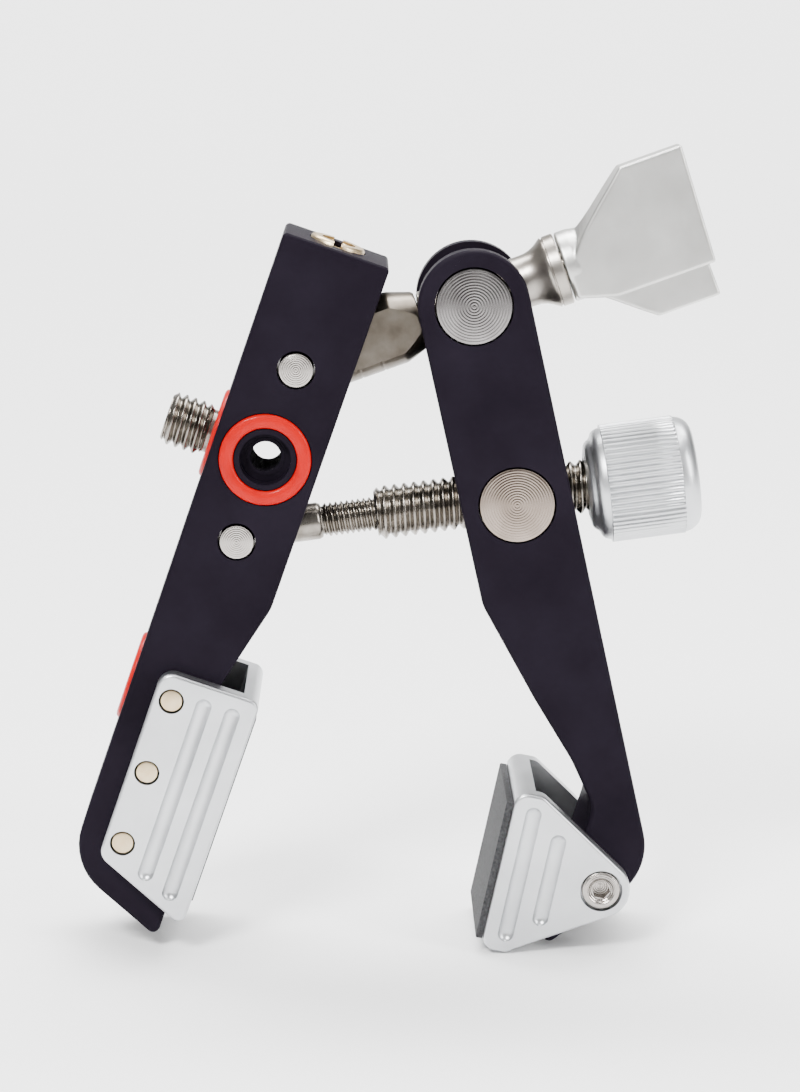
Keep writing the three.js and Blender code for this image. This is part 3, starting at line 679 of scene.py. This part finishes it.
def wing(turn, shift, root):
    """Half of the grip: a flat blade whose flank sweeps into the hub in an S.

    turn is in degrees about the spindle, shift is along it, and root is how far the blade
    reaches past the spindle's axis.
    """
    foot = 0.3 - shift
    end = [(foot, -1.6), (foot, 1.9 - root), (6.6, -root), (24.8, -root), (TIP_X, TIP_Z)]
    end = [Vector(p) for p in end]
    crease = end + swept((14.2, TIP_Z), (9.0, 8.9), (3.0, 5.0), (1.1, -0.4))
    outer = end + swept((14.0, TIP_Z), (9.0, 10.4), (5.5, 6.5), (1.6, 5.4))
    n = len(crease)
    verts = [(p.x, BLADE_LOW, p.y) for p in crease] + [(p.x, BLADE_HIGH, p.y) for p in outer]
    blade = raw(verts, lidded(n))
    soft = blade.modifiers.new("edges", "BEVEL")
    soft.width = 0.35
    soft.segments = 3
    soft.angle_limit = math.radians(50)
    settle(blade)
    turned = Matrix.Rotation(math.radians(turn), 4, "X")
    blade.data.transform(Matrix.Translation((HUB + shift, 0, 0)) @ turned)
    return blade


handle = revolve("x", [
    (HUB, 0), (HUB, 6.1), (HUB + 0.2, 6.3), (HUB + 2, 6.3), (HUB + 6, 5.6), (HUB + 23.6, 5.2),
    (HUB + 23.6, 0),
], around=96)
weld(handle, wing(0, 0, 7.1), wing(180, -1.0, 4.6))
cast(handle, 0.2, 3)
carve(
    handle,
    bar("x", 3.3, HUB - 1, 29.4),
    bar("x", 4, HUB + 22.6, HUB + 30),
    bar("x", 1.8, 28, HUB + 24, around=32),
)
piece(handle, "wing_grip", HANDLE, CAST, "wing_handle", ["wing_handle"], smooth=50)
cap = revolve("x", [
    (33.4, 0), (33.4, 1.5), (SEAT, 1.5), (SEAT, 3.6), (SEAT + 1.9, 3.6), (SEAT + 2.2, 3.3),
    (SEAT + 2.2, 0),
], around=64)
carve(cap, bar("x", 1.45, SEAT + 0.7, SEAT + 4, around=6))
piece(cap, "grip_screw", HANDLE, STEEL, "wing_handle", ["handle_screw"])

# ---------- lower screw: eye rod and adjusting sleeve ----------

rod_end = 44
rows, wave = thread(15.2, rod_end, 3.0, 1.0, 0.5)
neck = [(2, 0), (2, 3.3), (14.2, 3.3), (14.8, 3.0), (15.0, 2.5)]
shank = revolve("x", [*neck, *rows, (rod_end, 0)], around=120, wave=wave)
eye = weld(bar("y", 6, -CHEEK, CHEEK, around=96), shank)
carve(eye, bar("y", 3.3, -9, 9))
piece(eye, "eye_screw", ROD, STEEL, "eye_rod", ["eye_rod"], smooth=75)

start, end = 24.6, LOWER_SPAN + 25.2
rows, wave = thread(start, end, 4.75, 1.75, 0.8, LEFT_HAND)
tube = revolve("x", [(start, 0), *rows, (end, 0)], around=144, wave=wave)
carve(tube, bar("x", 3.35, 23, LOWER_SPAN + 8))
piece(tube, "adjusting_screw", ROD, STEEL, "adjusting_sleeve", ["adjusting_sleeve"], smooth=75)

# ---------- knob, measured from the lower trunnion ----------

# Where the knurl starts and stops, its number of ribs, its depth, and below 1 for rounder ribs
KNURL = (16.3, 29.2)
RIBS, RIB_DEPTH, RIB_POWER = 60, 0.46, 0.8
GRUB = (22.5, 0, 0)


def knurl(along, turn, radius):
    """Straight knurl with round-topped ribs, cut short at both ends and left off the small radii."""
    if along < KNURL[0] or along > KNURL[1] or radius < 9:
        return radius
    fade = min(1, (along - KNURL[0]) / 0.12, (KNURL[1] - along) / 0.3)
    return radius - RIB_DEPTH * fade * (1 - abs(math.sin(RIBS / 2 * turn)) ** RIB_POWER)


collar = [
    (12.8, 0), (12.8, 5.4), (12.9, 6.0), (13.05, 6.6), (13.15, 7.2), (13.35, 7.6), (13.6, 7.85),
    (14.0, 8.1), (14.3, 8.4), (14.5, 8.9), (14.7, 9.3), (15.1, 9.65), (15.6, 9.85), (16.2, 10.0),
    (16.28, 10.4),
]
ribs = [(KNURL[0] + d, 10.5) for d in (0, 0.12, 1.5, 4, 6.5, 9, 12.6, 12.9)]
crown = [
    (29.3, 10.3), (29.6, 10.25), (30.1, 10.15), (30.6, 9.95), (31.2, 9.6), (31.8, 9.0), (32.2, 8.2),
    (32.2, 0),
]
knob = revolve("x", collar + ribs + crown, around=720, wave=knurl)
carve(knob, bar("x", 5.05, 11, 25.6, around=96), bar("y", 1.75, 3, 12, GRUB, 48))
piece(knob, "knurled_knob", KNOB, SATIN, "knob", ["adjusting_knob"], smooth=50)
grub = bar("y", 1.5, 5.05, 9.6, GRUB, 48)
carve(grub, bar("y", 0.85, 8.1, 11, GRUB, 6))
piece(grub, "knob_set_screw", KNOB, STEEL, "knob", ["knob_grub_screw"])

# ---------- floor, light and camera, in metres ----------

FLOOR = cad_box[0][2] - 0.0004


def pale(name, low, high, foot, head):
    """A matt paint with painted shade: it darkens with height, from tone low at foot to tone high at
    head.
    """
    made = bpy.data.materials.new(name)
    made.use_nodes = True
    tree = made.node_tree
    shader = tree.nodes["Principled BSDF"]
    shader.inputs["Roughness"].default_value = 0.9
    where = tree.nodes.new("ShaderNodeTexCoord")
    split = tree.nodes.new("ShaderNodeSeparateXYZ")
    fade = tree.nodes.new("ShaderNodeMapRange")
    fade.inputs["From Min"].default_value = foot
    fade.inputs["From Max"].default_value = head
    fade.inputs["To Min"].default_value = low
    fade.inputs["To Max"].default_value = high
    tree.links.new(where.outputs["Object"], split.inputs["Vector"])
    tree.links.new(split.outputs["Z"], fade.inputs["Value"])
    tree.links.new(fade.outputs["Result"], shader.inputs["Base Color"])
    return made


# The floor runs back, bends up and ends in a wall
BEND, NEAR, SIDEWAYS, WALL_TOP = 0.8, 3, 4, 1.3
bend = [math.pi / 2 * k / 24 for k in range(1, 25)]
cove = [(-NEAR, 0), (1.2, 0)]
cove += [(1.2 + BEND * math.sin(t), BEND - BEND * math.cos(t)) for t in bend]
cove += [(2, WALL_TOP)]
ground = raw([(x, y, FLOOR + z) for y, z in cove for x in (-SIDEWAYS, SIDEWAYS)],
             [(2 * i, 2 * i + 1, 2 * i + 3, 2 * i + 2) for i in range(len(cove) - 1)])
ground.data.shade_smooth()
ground.name = "floor"
# Painted shade: the floor stays pale, and the wall where it bends up darkens from 0.16 m to 0.5 m up so
# that metals reflect it
ground.data.materials.append(pale("pale_floor_painted_shade", 0.93, 0.22, 0.16, 0.5))

# The world darkens from the horizon to the zenith
world = bpy.data.worlds.new("studio")
world.use_nodes = True
sky = world.node_tree.nodes["Background"]
sky.inputs["Strength"].default_value = 1
heading = world.node_tree.nodes.new("ShaderNodeTexCoord")
split = world.node_tree.nodes.new("ShaderNodeSeparateXYZ")
tone = world.node_tree.nodes.new("ShaderNodeMapRange")
tone.inputs["From Min"].default_value = 0.1
tone.inputs["From Max"].default_value = 0.9
tone.inputs["To Min"].default_value = 0.38
tone.inputs["To Max"].default_value = 0.2
world.node_tree.links.new(heading.outputs["Generated"], split.inputs["Vector"])
world.node_tree.links.new(split.outputs["Z"], tone.inputs["Value"])
world.node_tree.links.new(tone.outputs["Result"], sky.inputs["Color"])
bpy.context.scene.world = world

AIM = Vector((0.0315, 0, 0.046))


def facing(target, place):
    return (target - place).to_track_quat("-Z", "Y").to_euler()


def softbox(name, place, size, power, aim=AIM):
    light = bpy.data.lights.new(name, "AREA")
    light.shape = "RECTANGLE"
    light.size, light.size_y = size
    light.energy = power
    obj = bpy.data.objects.new(name, light)
    obj.location = place
    obj.rotation_euler = facing(Vector(aim), Vector(place))
    bpy.context.scene.collection.objects.link(obj)


softbox("key", (-0.25, -0.5, 0.62), (0.25, 0.2), 11)
softbox("top", (0.1, 0.1, 0.8), (0.6, 0.4), 8)
softbox("side", (0.65, -0.35, 0.35), (0.15, 0.5), 5)
softbox("sweep", (0, 0.9, 1.9), (3, 0.8), 170, (0, 1.7, 0.1))

AZIMUTH, ELEVATION, REACH = math.radians(-0.8), math.radians(12.5), 0.48
level = math.cos(ELEVATION)
outward = Vector((math.sin(AZIMUTH) * level, -math.cos(AZIMUTH) * level, math.sin(ELEVATION)))
lens = bpy.data.cameras.new("camera")
lens.sensor_fit = "AUTO"
lens.sensor_width = 36
lens.lens = 88.6154
lens.clip_start = 0.01
camera = bpy.data.objects.new("camera", lens)
camera.location = AIM + REACH * outward
camera.rotation_euler = facing(AIM, camera.location)
bpy.context.scene.collection.objects.link(camera)
bpy.context.scene.camera = camera
